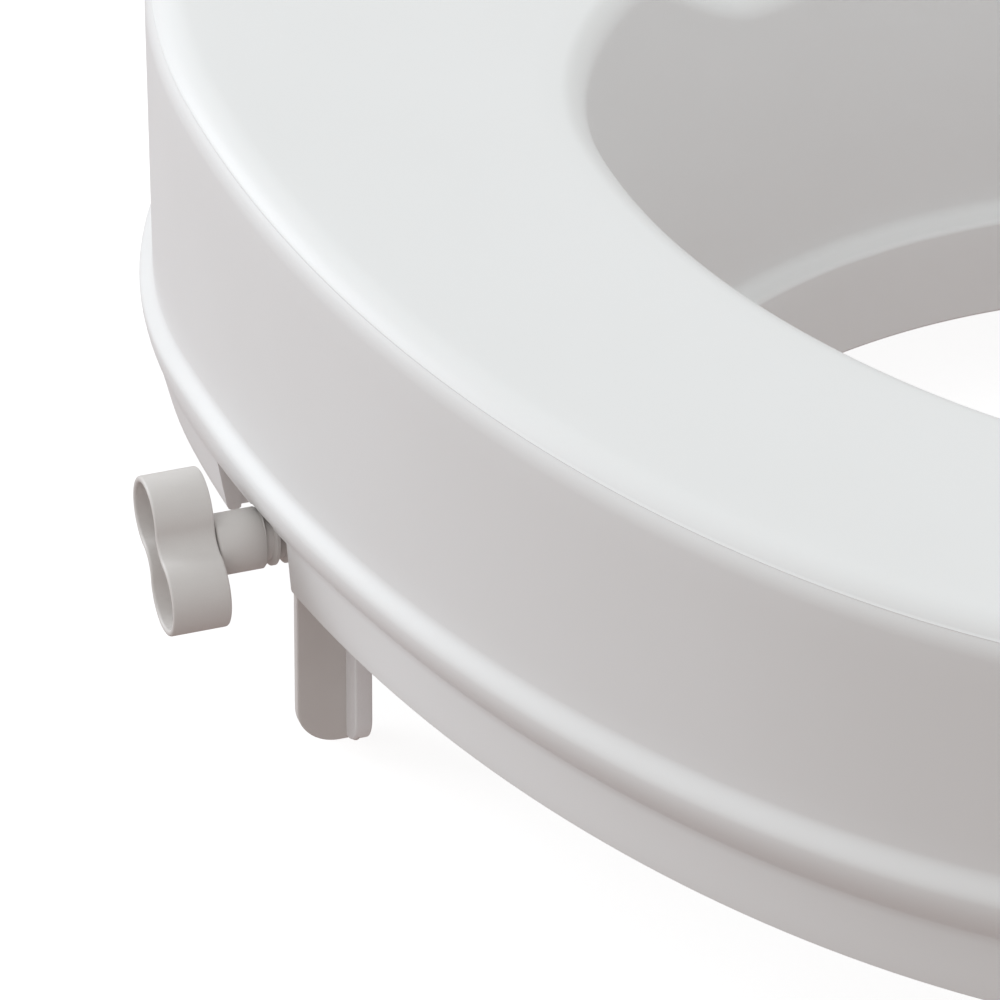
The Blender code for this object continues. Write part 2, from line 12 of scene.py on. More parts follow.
import bmesh
import bpy
import numpy as np
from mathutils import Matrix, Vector


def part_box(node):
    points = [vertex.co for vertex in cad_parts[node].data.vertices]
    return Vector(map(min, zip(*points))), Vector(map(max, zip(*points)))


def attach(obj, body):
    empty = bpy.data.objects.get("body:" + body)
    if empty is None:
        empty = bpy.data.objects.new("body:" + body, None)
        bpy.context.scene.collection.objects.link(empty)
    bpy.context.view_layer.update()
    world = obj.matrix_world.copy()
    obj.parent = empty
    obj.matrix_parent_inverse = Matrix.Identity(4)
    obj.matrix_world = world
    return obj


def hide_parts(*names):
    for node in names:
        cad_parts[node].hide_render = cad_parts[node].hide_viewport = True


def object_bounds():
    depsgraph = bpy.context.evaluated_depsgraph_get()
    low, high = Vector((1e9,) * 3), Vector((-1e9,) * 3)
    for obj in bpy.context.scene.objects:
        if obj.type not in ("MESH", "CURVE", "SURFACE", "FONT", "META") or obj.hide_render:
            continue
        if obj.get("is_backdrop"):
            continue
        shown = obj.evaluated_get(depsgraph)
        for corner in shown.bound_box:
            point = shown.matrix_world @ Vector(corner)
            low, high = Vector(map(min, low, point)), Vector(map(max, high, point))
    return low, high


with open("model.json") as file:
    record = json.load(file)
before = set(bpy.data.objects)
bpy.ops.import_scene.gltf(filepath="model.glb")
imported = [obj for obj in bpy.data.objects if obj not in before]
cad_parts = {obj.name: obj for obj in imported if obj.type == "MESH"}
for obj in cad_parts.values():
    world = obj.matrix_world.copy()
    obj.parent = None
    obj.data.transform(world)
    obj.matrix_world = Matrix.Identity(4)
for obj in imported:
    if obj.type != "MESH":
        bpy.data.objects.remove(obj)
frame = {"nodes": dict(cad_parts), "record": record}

cad_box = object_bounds()
print("CAD box", [round(float(value), 4) for corner in cad_box for value in corner])

# %% [markdown]
# ## The camera
#
# The seat is seen from its front left, from about 35 degrees above, and close up, so that the left
# clamp is near the middle of the left side. Its verticals stay parallel, so the lens is very long and
# stands far away. The camera looks at a point low on the left, level with the skirt's bottom edge.

# %% Camera
HEIGHT = 0.0905                      # from the lower skirt's bottom edge to the top
SKIRT_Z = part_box("seat_shell")[1].z - HEIGHT
VIEW_TURN = radians(18.0)            # to the left of the seat's front
VIEW_RISE = radians(34.8)
VIEW_DISTANCE = 3.0
VIEW_WIDTH = 0.2043                  # how much the view takes in, across the aim point
AIM_X = -0.1284
AIM_Y = 0.0213
SENSOR = 36                          # millimetres
FARTHEST = 50

aim = Vector((AIM_X, AIM_Y, SKIRT_Z))
toward = Vector((sin(VIEW_TURN) * cos(VIEW_RISE), cos(VIEW_TURN) * cos(VIEW_RISE), -sin(VIEW_RISE)))
lens = bpy.data.cameras.new("camera")
lens.sensor_width = SENSOR
lens.lens = SENSOR * VIEW_DISTANCE / VIEW_WIDTH
lens.clip_end = FARTHEST
camera = bpy.data.objects.new("camera", lens)
camera.location = aim - toward * VIEW_DISTANCE
camera.rotation_euler = toward.to_track_quat("-Z", "Y").to_euler()
bpy.context.scene.collection.objects.link(camera)
bpy.context.scene.camera = camera
print("lens", round(lens.lens), "mm at", VIEW_DISTANCE, "m")

# %% [markdown]
# ## Writing materials as sums
#
# A material is a small sum over the surface: some noise, scaled and added to a base value. One class
# holds a socket and knows the operators, so `0.3 + 0.1 * grain` builds the Math nodes by itself.

# %% A socket that can be added and multiplied
class Value:
    """A number that varies over a surface, held as the socket that gives it."""

    def __init__(self, finish, socket):
        self.finish = finish
        self.socket = socket

    def _math(self, operation, other):
        return self.finish.node("ShaderNodeMath", {"operation": operation}, {0: self, 1: other})

    def __add__(self, other):
        return self._math("ADD", other)

    def __mul__(self, other):
        return self._math("MULTIPLY", other)

    __radd__ = __add__
    __rmul__ = __mul__


class Nodes:
    """A node tree under construction."""

    def __init__(self, tree):
        self.tree = tree

    def node(self, kind, settings, inputs, output=0):
        """Adds a node. settings are set first, then inputs are given values or links."""
        made = self.tree.nodes.new(kind)
        for key, value in settings.items():
            setattr(made, key, value)
        for key, value in inputs.items():
            self.give(made.inputs[key], value)
        return Value(self, made.outputs[output])

    def give(self, socket, value):
        if isinstance(value, Value):
            self.tree.links.new(value.socket, socket)
        else:
            socket.default_value = value

    def blend(self, amount, first, second):
        """A colour between two colours, each given as red, green and blue or as a Value."""
        first, second = (side if isinstance(side, Value) else (*side, 1) for side in (first, second))
        inputs = {0: amount, 6: first, 7: second}
        return self.node("ShaderNodeMix", {"data_type": "RGBA"}, inputs, 2)


class Finish(Nodes):
    """A material under construction: its nodes, and the shader that they feed."""

    def __init__(self, name):
        self.material = bpy.data.materials.new(name)
        self.material.use_nodes = True
        super().__init__(self.material.node_tree)
        self.shader = self.tree.nodes["Principled BSDF"]

    def feed(self, **inputs):
        """Feeds the shader. base_color means Base Color."""
        for key, value in inputs.items():
            self.give(self.shader.inputs[key.replace("_", " ").title().replace("Ior", "IOR")], value)
        return self

    def place(self):
        return self.node("ShaderNodeTexCoord", {}, {}, "Object")

    def noise(self, size, detail=3.0):
        """Soft noise whose blotches are about size metres across, from 0 to 1."""
        inputs = {"Vector": self.place(), "Scale": 1 / size, "Detail": detail}
        return self.node("ShaderNodeTexNoise", {}, inputs)

    def bump(self, height, depth):
        """A Normal input that raises the surface by height times depth metres."""
        inputs = {"Height": height, "Distance": depth, "Strength": 1.0}
        return self.node("ShaderNodeBump", {}, inputs)


print("sums over a surface are ready")

# %% [markdown]
# ## Studio
#
# White plastic shows its shape only by how softly it darkens. The light is therefore a pale dome, about
# half as bright below the horizon as above it and brightest straight overhead. One cool lamp stands
# behind the seat's left side. The floor is plain and pale. It is kept out of the light that reaches
# the seat, as if it were a sheet of glass over a darker room, so that undercuts stay dark.

# %% Dome, lamp and floor
GROUND_LIGHT = (0.385, 0.325, 0.31)
SKY_LIGHT = (0.725, 0.73, 0.73)
OVERHEAD_LIGHT = (0.96, 0.98, 0.975)
HORIZON = (-0.25, 0.35)              # heights of the view direction, where -1 is down and 1 is up
OVERHEAD = (0.45, 0.95)
LAMP_SIZE = 1.2
LAMP_POWER = 36
FLOOR_SIZE = 16
FLOOR_GAP = 0.0004
FLOOR_GLOW = 0.86

world = bpy.data.worlds.new("studio_dome")
world.use_nodes = True
dome = Nodes(world.node_tree)
direction = dome.node("ShaderNodeTexCoord", {}, {}, "Generated")
height = dome.node("ShaderNodeSeparateXYZ", {}, {"Vector": direction}, "Z")
sky = GROUND_LIGHT
for (low, high), light in ((HORIZON, SKY_LIGHT), (OVERHEAD, OVERHEAD_LIGHT)):
    inputs = {"Value": height, 1: low, 2: high}
    amount = dome.node("ShaderNodeMapRange", {"interpolation_type": "SMOOTHSTEP"}, inputs)
    sky = dome.blend(amount, sky, light)
dome.give(world.node_tree.nodes["Background"].inputs["Color"], sky)
bpy.context.scene.world = world
bpy.context.scene.view_settings.view_transform = "Standard"

middle = Vector((0, 0, SKIRT_Z))
lamp = bpy.data.lights.new("left_lamp", "AREA")
lamp.size = LAMP_SIZE
lamp.energy = LAMP_POWER
lamp.color = (0.90, 0.95, 1.0)
stand = bpy.data.objects.new("left_lamp", lamp)
stand.location = (-2.1, 1.7, 0.9)
stand.rotation_euler = (middle - stand.location).to_track_quat("-Z", "Y").to_euler()
bpy.context.scene.collection.objects.link(stand)

bpy.ops.mesh.primitive_plane_add(size=FLOOR_SIZE, location=(0, 0, cad_box[0].z - FLOOR_GAP))
floor = bpy.context.object
floor.name = "floor"
floor.visible_diffuse = False
floor.visible_glossy = False
floor.visible_shadow = False
paint = Finish("pale_floor")
mottle = paint.blend(paint.noise(0.7), (0.29, 0.29, 0.29), (0.31, 0.31, 0.31))
paint.feed(base_color=mottle, roughness=0.85, emission_color=(1, 1, 1, 1), emission_strength=FLOOR_GLOW)
floor.data.materials.append(paint.material)
floor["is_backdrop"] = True
print("floor at", round(floor.location.z, 4))

# %% [markdown]
# ## The finishes
#
# The seat is glossy white plastic. Up close a moulding isn't perfect: its gloss changes a little over
# a hand's width, and its skin has a faint ripple and a fine grain. The clamps are warm light grey with
# a grain of their own from the mould. Rubber is dull and dusty, and the small screws are bright zinc.

# %% White plastic
def white_plastic():
    finish = Finish("white_moulded_plastic")
    cloud = finish.noise(0.060)
    ripple = finish.noise(0.004, 2.0)
    grain = finish.noise(0.0006, 1.0)
    colour = finish.blend(cloud, (0.800, 0.800, 0.795), (0.835, 0.836, 0.836))
    roughness = 0.36 + 0.10 * cloud + 0.05 * grain
    height = ripple + 0.15 * grain
    finish.feed(base_color=colour, roughness=roughness, normal=finish.bump(height, 0.000018))
    finish.feed(subsurface_weight=0.08, subsurface_scale=0.004, specular_ior_level=0.38)
    finish.shader.inputs["Subsurface Radius"].default_value = (1.0, 0.9, 0.85)
    return finish.material


# %% Grey plastic, rubber and steel
def grey_plastic():
    finish = Finish("grey_moulded_plastic")
    cloud = finish.noise(0.012)
    grain = finish.noise(0.00035, 2.0)
    colour = finish.blend(cloud, (0.650, 0.620, 0.600), (0.705, 0.680, 0.660))
    roughness = 0.36 + 0.10 * cloud + 0.08 * grain
    return finish.feed(base_color=colour, roughness=roughness, normal=finish.bump(grain, 0.00002)).material


def soft_rubber(name, dark, pale):
    finish = Finish(name)
    dust = finish.noise(0.009, 4.0)
    skin = finish.noise(0.0005, 2.0)
    colour = finish.blend(dust, dark, pale)
    roughness = 0.68 + 0.20 * dust
    return finish.feed(base_color=colour, roughness=roughness, normal=finish.bump(skin, 0.00005)).material


def zinc_steel():
    finish = Finish("bright_zinc_steel")
    cloud = finish.noise(0.003)
    scratch = finish.noise(0.00025, 4.0)
    colour = finish.blend(cloud, (0.60, 0.60, 0.58), (0.72, 0.72, 0.71))
    roughness = 0.22 + 0.16 * cloud + 0.08 * scratch
    made = finish.feed(base_color=colour, roughness=roughness, normal=finish.bump(scratch, 0.00001))
    return made.feed(metallic=1.0).material


WHITE = white_plastic()
GREY = grey_plastic()
RUBBER = soft_rubber("soft_grey_rubber", (0.33, 0.33, 0.335), (0.42, 0.42, 0.42))
PALE_RUBBER = soft_rubber("pale_soft_rubber", (0.86, 0.86, 0.87), (0.92, 0.92, 0.925))
STEEL = zinc_steel()
print("finishes:", ", ".join(made.name for made in (WHITE, GREY, RUBBER, PALE_RUBBER, STEEL)))

# %% [markdown]
# ## The seat's outline
#
# From above the skirt is an egg: two half ovals that share their widest line, each pressed in or out a
# little by a term that is zero at its ends. The hole is a smaller egg. Both are formulas, so a wall is
# the same outline moved along its own normal.

# %% Outline and hole
SEAT = dict(half_width=0.1830, front=0.2668, rear=0.1543,
            front_form=(-0.034, -0.031), rear_form=(0.052, 0.052))
HOLE = dict(half_width=0.1100, front=0.1499, rear=0.0846,
            front_form=(-0.040, -0.123), rear_form=(-0.008, -0.009))
HOLE_FORWARD = 0.0456                # how far the hole's widest line is ahead of the seat's
WIDEST_Y = (SEAT["front"] - SEAT["rear"]) / 2
HOLE_Y = WIDEST_Y - HOLE_FORWARD


def egg(angles, half_width, front, rear, front_form, rear_form):
    """Points of an egg whose widest line is at y = 0 and whose front is at -y, one row per angle."""
    behind = np.sin(angles) >= 0
    across = np.where(behind, rear_form[0], front_form[0])
    along = np.where(behind, rear_form[1], front_form[1])
    length = np.where(behind, rear, front)
    x = half_width * np.cos(angles) * (1 + across * np.sin(angles) ** 2)
    y = length * np.sin(angles) * (1 + along * np.cos(angles) ** 2)
    return np.stack([x, y], 1)


def offset_egg(angles, outward, sizes, shift):
    """The egg moved outward along its normals, then shifted along Y."""
    step = radians(0.5)
    along = egg(angles + step, **sizes) - egg(angles - step, **sizes)
    normal = np.stack([along[:, 1], -along[:, 0]], 1)
    normal /= np.linalg.norm(normal, axis=1)[:, None]
    moved = egg(angles, **sizes) + np.asarray(outward).reshape(-1, 1) * normal
    moved[:, 1] += shift
    return moved


def skirt_ring(angles, outward):
    return offset_egg(angles, outward, SEAT, WIDEST_Y)


def hole_ring(angles, inward):
    return offset_egg(angles, -np.asarray(inward), HOLE, HOLE_Y)


print("outline", round(2 * SEAT["half_width"], 3), "by", round(SEAT["front"] + SEAT["rear"], 3), "m")

# %% [markdown]
# ## The moulding
#
# The shell is laid in courses, like brickwork: each course is one closed ring of points at one place
# of the wall's section. From the bottom edge the courses climb the lower skirt, swell over the bead,
# go up the skirt, round the edge, cross the top, dip at the rear recess, round the lip, and go down
# the funnel and the collar. Then they come back inside, one wall thickness away. Faces join each
# course to the next, and the last to the first, so the shell is closed.

# %% Section sizes
LOWER_SKIRT = 0.0126
BEAD = 0.0118
BEAD_OUT = 0.0043
BELLY = 0.66                # share of the bead's height where it stands out the most
BEAD_TOP = 1.10             # share of the bead's height where it has run out into the skirt
FOOT_IN = 0.0007            # the bottom edge is drawn in by this, and rounded up to FOOT_UP
FOOT_EASE = 0.0001
FOOT_UP = 0.0004
FOOT_INSIDE = 0.0006
UPPER_OUT = 0.0015
DRAFT = 0.0008
EDGE = 0.008
LIP = 0.0056
WALL = 0.0028
FUNNEL = 0.0065
STEP_Z = 0.002
STEP = 0.0050
STEP_FILLET = 0.0032
STEP_EDGE = 0.0012
COLLAR_DROP = 0.020
COLLAR_TAPER = 0.0015
COLLAR_EDGE_OUT = 0.0005
COLLAR_EDGE_IN = 0.0004
STEP_UNDER = 0.003          # how far the step's underside hangs below the step, less one wall
RISE = 0.34                 # how much taller the lower skirt and bead are at the front
REAR_DROP = 0.22            # how much lower they are behind the widest line
DROP_START = 0.025
DROP_LENGTH = 0.085
SIDE_FLARE = 0.0026
FLARE_FADE = 0.35
RECESS = 0.024
RECESS_FLAT = radians(26)
RECESS_BLEND = radians(26)
SEAM_TURN = radians(34)     # where round the top edge the mould's seam line runs
SEAM_HALF = radians(1.2)
SEAM_PROUD = 0.00014


def smooth(share):
    """Eases from 0 to 1 with level ends."""
    return share * share * (3 - 2 * share)


def growth(angles):
    """How much taller the lower skirt and the bead are at each angle: most at the front."""
    forward = WIDEST_Y - skirt_ring(angles, 0)[:, 1]
    behind = np.clip((DROP_START - forward) / DROP_LENGTH, 0, 1)
    return 1 + RISE * forward / SEAT["front"] - REAR_DROP * smooth(behind)


def flare(angles):
    """How far out the lower skirt's top leans: it leans at the sides and is upright at the front."""
    forward = (WIDEST_Y - skirt_ring(angles, 0)[:, 1]) / SEAT["front"]
    return SIDE_FLARE * (1 - smooth(np.clip(forward / FLARE_FADE, 0, 1)))


def recess(angles, share):
    """How far the top sinks at the rear of the hole: share is 0 at the outer edge and 1 at the lip."""
    beside = np.abs((angles - pi / 2 + pi) % (2 * pi) - pi) - RECESS_FLAT
    return RECESS * smooth(1 - np.clip(beside / RECESS_BLEND, 0, 1)) * smooth(share)


# %% Courses of the outer side
def outer_courses(angles):
    """Rings from the skirt's bottom edge to the start of the top, as (plan points, heights)."""
    crease = LOWER_SKIRT * growth(angles)
    bead = BEAD * growth(angles)
    lean = flare(angles)
    level = np.ones_like(angles)
    courses = [(skirt_ring(angles, -FOOT_IN), 0 * level)]
    courses.append((skirt_ring(angles, -FOOT_EASE), FOOT_UP * level))
    for share in (0.08, 0.3, 0.6, 0.85, 0.97):
        courses.append((skirt_ring(angles, lean * share), crease * share))
    for share in np.linspace(0.02, BELLY, 10):
        out = lean + (BEAD_OUT - lean) * sin(pi / 2 * share / BELLY) ** 0.8
        courses.append((skirt_ring(angles, out), crease + bead * share))
    for share in np.linspace(BELLY, BEAD_TOP, 15)[1:]:
        fall = (1 + cos(pi * (share - BELLY) / (BEAD_TOP - BELLY))) / 2
        out = UPPER_OUT + (BEAD_OUT - UPPER_OUT) * fall
        courses.append((skirt_ring(angles, out), crease + bead * share))
    shoulder = HEIGHT - EDGE
    start = crease + bead * BEAD_TOP
    for share in np.linspace(0, 1, 9)[1:]:
        courses.append((skirt_ring(angles, UPPER_OUT + DRAFT * share), start + (shoulder - start) * share))
    turns = list(np.linspace(0, pi / 2, 15)[1:])
    turns += [SEAM_TURN - SEAM_HALF, SEAM_TURN, SEAM_TURN + SEAM_HALF]
    for turn in sorted(turns):
        proud = SEAM_PROUD if turn == SEAM_TURN else 0
        out = UPPER_OUT + DRAFT - EDGE * (1 - cos(turn)) + proud * cos(turn)
        courses.append((skirt_ring(angles, out), (shoulder + EDGE * sin(turn) + proud * sin(turn)) * level))
    return courses


# %% Courses of the top, the funnel and the collar
def inner_courses(angles):
    """Rings across the top and down the hole, to the collar's bottom edge."""
    level = np.ones_like(angles)
    edge = skirt_ring(angles, UPPER_OUT + DRAFT - EDGE)
    lip = hole_ring(angles, -LIP)
    courses = []
    for share in np.linspace(0, 1, 15)[1:]:
        courses.append((edge + (lip - edge) * share, HEIGHT - recess(angles, share)))
    sunk = recess(angles, 1.0)
    for turn in np.linspace(0, pi / 2, 12)[1:]:
        courses.append((hole_ring(angles, -LIP * (1 - sin(turn))), HEIGHT - LIP * (1 - cos(turn)) - sunk))
    top = HEIGHT - LIP - sunk
    foot = (STEP_Z + STEP_FILLET) * level
    for share in np.linspace(0, 1, 14)[1:]:
        courses.append((hole_ring(angles, FUNNEL * share), top + (foot - top) * share))
    for turn in np.linspace(0, 0.8 * pi / 2, 9)[1:]:
        inward = FUNNEL + STEP_FILLET * (1 - cos(turn))
        courses.append((hole_ring(angles, inward), foot - STEP_FILLET * sin(turn)))
    for turn in np.linspace(0.2 * pi / 2, pi / 2, 7):
        inward = FUNNEL + STEP - STEP_EDGE * (1 - sin(turn))
        courses.append((hole_ring(angles, inward), foot - STEP_FILLET - STEP_EDGE * (1 - cos(turn))))
    bottom = -COLLAR_DROP
    start = foot - STEP_FILLET - STEP_EDGE
    for share in (0.25, 0.5, 0.75, 0.97):
        inward = FUNNEL + STEP + COLLAR_TAPER * share
        courses.append((hole_ring(angles, inward), start + (bottom - start) * share))
    return courses


# %% Courses of the hollow side
def hollow_courses(angles):
    """Rings back up the collar, under the top and down inside the skirt."""
    level = np.ones_like(angles)
    grow = growth(angles)
    edge = skirt_ring(angles, UPPER_OUT + DRAFT - EDGE)
    lip = hole_ring(angles, -LIP)
    under = HEIGHT - WALL
    collar = FUNNEL + STEP + COLLAR_TAPER
    courses = [(hole_ring(angles, collar - COLLAR_EDGE_OUT), -COLLAR_DROP * level)]
    courses.append((hole_ring(angles, collar - WALL + COLLAR_EDGE_IN), -COLLAR_DROP * level))
    courses.append((hole_ring(angles, FUNNEL + STEP - WALL), (STEP_Z - STEP_UNDER - WALL) * level))
    courses.append((hole_ring(angles, FUNNEL - WALL), STEP_Z * level))
    sunk = recess(angles, 1.0)
    courses.append((hole_ring(angles, -WALL), under - LIP - sunk))
    courses.append((hole_ring(angles, -LIP), under - sunk))
    for share in np.linspace(1, 0, 9)[1:-1]:
        courses.append((edge + (lip - edge) * share, under - recess(angles, share)))
    inside = UPPER_OUT + DRAFT - WALL
    courses.append((skirt_ring(angles, inside - EDGE / 2), under * level))
    courses.append((skirt_ring(angles, inside), (HEIGHT - EDGE) * level))
    courses.append((skirt_ring(angles, UPPER_OUT - WALL), (LOWER_SKIRT + BEAD) * grow))
    courses.append((skirt_ring(angles, -WALL), LOWER_SKIRT * grow))
    courses.append((skirt_ring(angles, -WALL), FOOT_UP * level))
    courses.append((skirt_ring(angles, -WALL + FOOT_INSIDE), 0 * level))
    return courses


# %% [markdown]
# ## Turning loops of points into a mesh
#
# Every made piece in this lesson is a stack of loops: rings, sections along a strip, or slices of a
# solid. One function joins neighbouring loops with faces and closes the ends where that is asked.

# %% From loops to an object
def mesh_from_loops(name, loops, finish, ring=False, sharp=40):
    """Joins loops of equal length. ring joins the last to the first, otherwise both ends are closed."""
    count = len(loops)
    size = len(loops[0])
    faces = []
    for row in range(count if ring else count - 1):
        after = (row + 1) % count
        for col in range(size):
            beside = (col + 1) % size
            faces.append((row * size + col, row * size + beside, after * size + beside, after * size + col))
    if not ring:
        faces.append(tuple(range(size)))
        faces.append(tuple(range((count - 1) * size, count * size)))
    mesh = bpy.data.meshes.new(name)
    mesh.from_pydata(np.concatenate([np.asarray(loop) for loop in loops]).tolist(), [], faces)
    tidy = bmesh.new()
    tidy.from_mesh(mesh)
    bmesh.ops.recalc_face_normals(tidy, faces=tidy.faces)
    tidy.to_mesh(mesh)
    tidy.free()
    mesh.materials.append(finish)
    mesh.shade_smooth()
    mesh.set_sharp_from_angle(angle=radians(sharp))
    made = bpy.data.objects.new(name, mesh)
    bpy.context.scene.collection.objects.link(made)
    return made


def apply_modifiers(piece):
    """Bakes a piece's modifiers into its mesh."""
    bpy.context.view_layer.update()
    depsgraph = bpy.context.evaluated_depsgraph_get()
    piece.data = bpy.data.meshes.new_from_object(piece.evaluated_get(depsgraph))
    piece.modifiers.clear()


def cut(piece, tool):
    """Cuts tool out of piece, then removes the tool."""
    modifier = piece.modifiers.new("cut", "BOOLEAN")
    modifier.operation = "DIFFERENCE"
    modifier.object = tool
    apply_modifiers(piece)
    bpy.data.objects.remove(tool)


# %% Lay the courses
COLUMNS = 288
angles = np.arange(COLUMNS) * 2 * pi / COLUMNS
courses = outer_courses(angles) + inner_courses(angles) + hollow_courses(angles)
loops = [np.column_stack([plan, SKIRT_Z + heights]) for plan, heights in courses]
seat = mesh_from_loops("white_seat_moulding", loops, WHITE, ring=True)
print("moulding:", len(loops), "courses,", len(seat.data.polygons), "faces")

# %% [markdown]
# ## Places along the clamps
#
# Each clamp is built in its own axes: u points outward along the screw, w points up, and v makes the
# third. The left clamp is the right one turned half round, as one moulded part used twice, so the
# thread has the same hand on both sides.

# %% Clamp axes
joints = {joint["name"]: joint for joint in frame["record"]["behaviour"]["joints"]}
hinge = joints["right_screw_turn"]["pos_m"]
AXIS_Y = hinge[1]
AXIS_Z = hinge[2]
knob_low, knob_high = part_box("knob_right")
SPINDLE_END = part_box("spindle_right")[0].x
arm_low, arm_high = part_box("clamp_arm_right")
SIDES = (("right", 0.0), ("left", pi))


def clamp_place(points, turn):
    """Points given as u, v, w on the screw axis, brought into the frame."""
    points = np.asarray(points, float)
    x = points[:, 0] * cos(turn) - points[:, 1] * sin(turn)
    y = points[:, 0] * sin(turn) + points[:, 1] * cos(turn)
    return np.column_stack([x, y + AXIS_Y, points[:, 2] + AXIS_Z])


def arc(centre, radius, first, last, steps):
    turns = np.linspace(first, last, steps + 1)
    return [(centre[0] + radius * cos(turn), centre[1] + radius * sin(turn)) for turn in turns]


def turned_loops(stations, turn, sides=64):
    """Rings around the screw axis. stations are (u, radius)."""
    around = np.arange(sides) * 2 * pi / sides
    loops = []
    for u, radius in stations:
        ring = np.column_stack([np.full(sides, u), radius * np.cos(around), radius * np.sin(around)])
        loops.append(clamp_place(ring, turn))
    return loops


print("screw axis at y", round(AXIS_Y, 4), "z", round(AXIS_Z, 4))

# %% Cut the notches
SKIRT_U = 0.1803
NOTCH_REAR = 0.0216
NOTCH_FRONT = 0.0104
NOTCH_REACH = 0.012          # how far the notch tool goes to both sides of the skirt
NOTCH_BELOW = 0.013          # and below the screw
CHANNEL = 0.0070
CHANNEL_DEPTH = 0.008
SMOOTH_LIMIT = radians(40)   # sharper edges than this are shaded as edges


def notch_tool(turn):
    """A block that takes the lower skirt away around the screw, its lower corners left square."""
    forward = -1 if turn == 0 else 1
    low, high = sorted((forward * NOTCH_FRONT, -forward * NOTCH_REAR))
    top = LOWER_SKIRT + SKIRT_Z - AXIS_Z
    loops = []
    for w in (-NOTCH_BELOW, top):
        corners = ((-NOTCH_REACH, low), (NOTCH_REACH, low), (NOTCH_REACH, high), (-NOTCH_REACH, high))
        loops.append(clamp_place([(SKIRT_U + u, v, w) for u, v in corners], turn))
    return mesh_from_loops("notch_tool", loops, WHITE)


for side, turn in SIDES:
    cut(seat, notch_tool(turn))
    channel = ((SKIRT_U + NOTCH_REACH, CHANNEL), (SKIRT_U - CHANNEL_DEPTH, CHANNEL))
    cut(seat, mesh_from_loops("channel_tool", turned_loops(channel, turn), WHITE))
seat.data.shade_smooth()
seat.data.set_sharp_from_angle(angle=SMOOTH_LIMIT)
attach(seat, "seat")
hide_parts("seat_shell")
print("seat after its notches:", len(seat.data.polygons), "faces")

# %% [markdown]
# ## Under the seat
#
# A hollow moulding is stiffened with thin upright ribs between the skirt and the funnel. Flat shelves
# join the same two walls where the rim pads sit and where the clamps' guide blocks are screwed on.

# %% Ribs and shelves
SHELF = 0.020
SHELF_THICKNESS = 0.003
SHELF_ROUND = 0.0004
SHELF_STEPS = 20
RIB = 0.0018
RIB_OUTER_TOP = 0.062
RIB_INNER_TOP = 0.052
RIB_ARCH = 0.014             # how far the middle of a rib's foot is lifted
PAD_SPANS = (("front", -104, -76), ("rear", 70, 110), ("right", -48, -30), ("left", -150, -132))
CLAMP_SPANS = (("clamp_right", -15, -1), ("clamp_left", -179, -165))
RIB_ANGLES = (-125, -112, -68, -55, -22, 15, 32, 50, 130, 148, 165, -158)


def wall_inset(z):
    """How far the funnel wall stands inside the lip at a height above the skirt's bottom edge."""
    return FUNNEL * (HEIGHT - LIP - z) / (HEIGHT - LIP - STEP_Z)


def shelf(name, first, last):
    """A curved shelf between the skirt and the funnel, from one angle to another, its edges rounded."""
    low, high = SHELF, SHELF + SHELF_THICKNESS
    loops = []
    for angle in np.linspace(radians(first), radians(last), SHELF_STEPS + 1):
        here = np.array([angle])
        out = skirt_ring(here, -WALL / 2)[0]
        inn = hole_ring(here, wall_inset(SHELF) - WALL / 2)[0]
        across = (inn - out) / np.linalg.norm(inn - out) * SHELF_ROUND
        section = [(out, low + SHELF_ROUND), (out, high - SHELF_ROUND), (out + across, high)]
        section += [(inn - across, high), (inn, high - SHELF_ROUND), (inn, low + SHELF_ROUND)]
        section += [(inn - across, low), (out + across, low)]
        loops.append([(*flat, SKIRT_Z + z) for flat, z in section])
    made = mesh_from_loops("shelf_" + name, loops, WHITE)
    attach(made, "seat")


for name, first, last in PAD_SPANS + CLAMP_SPANS:
    shelf(name, first, last)

for number, degrees in enumerate(RIB_ANGLES, 1):
    here = np.array([radians(degrees)])
    out = skirt_ring(here, -WALL / 2)[0]
    inn = hole_ring(here, wall_inset(SHELF) - WALL / 2)[0]
    side_step = np.array([-(inn - out)[1], (inn - out)[0]])
    side_step *= RIB / 2 / np.linalg.norm(side_step)
    top_inn = hole_ring(here, wall_inset(RIB_INNER_TOP) - WALL / 2)[0]
    profile = [(out, SHELF), (out, RIB_OUTER_TOP), (top_inn, RIB_INNER_TOP), (inn, SHELF)]
    profile.append(((inn + out) / 2, SHELF + RIB_ARCH))
    loops = []
    for way in (-1, 1):
        loops.append([(*(flat + way * side_step), SKIRT_Z + z) for flat, z in profile])
    rib = mesh_from_loops("stiffening_rib_%02d" % number, loops, WHITE)
    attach(rib, "seat")
print("shelves:", len(PAD_SPANS + CLAMP_SPANS), "ribs:", len(RIB_ANGLES))

# %% Guide walls beside the notches
GUIDE_WALL = 0.0018
GUIDE_LENGTH = 0.0165
GUIDE_GAP = 0.0003           # between a notch's end and its guide wall
GUIDE_FOOT = 0.0009
GUIDE_LAP = 0.001            # how far the walls run up into the shelf


def guide_wall(name, turn, y, thickness):
    """An upright wall inside the skirt at a notch's end, which keeps the clamp arm from turning."""
    here = np.array([-asin((WIDEST_Y - y) / (SEAT["front"] * (1 + SEAT["front_form"][1])))])
    outer = skirt_ring(here, -WALL / 2)[0][0] * cos(turn)
    inner = outer - GUIDE_LENGTH * cos(turn)
    loops = []
    for z in (SKIRT_Z + GUIDE_FOOT, SKIRT_Z + SHELF + GUIDE_LAP):
        loops.append([(outer, y, z), (inner, y, z), (inner, y + thickness, z), (outer, y + thickness, z)])
    wall = mesh_from_loops(name, loops, WHITE)
    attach(wall, "seat")


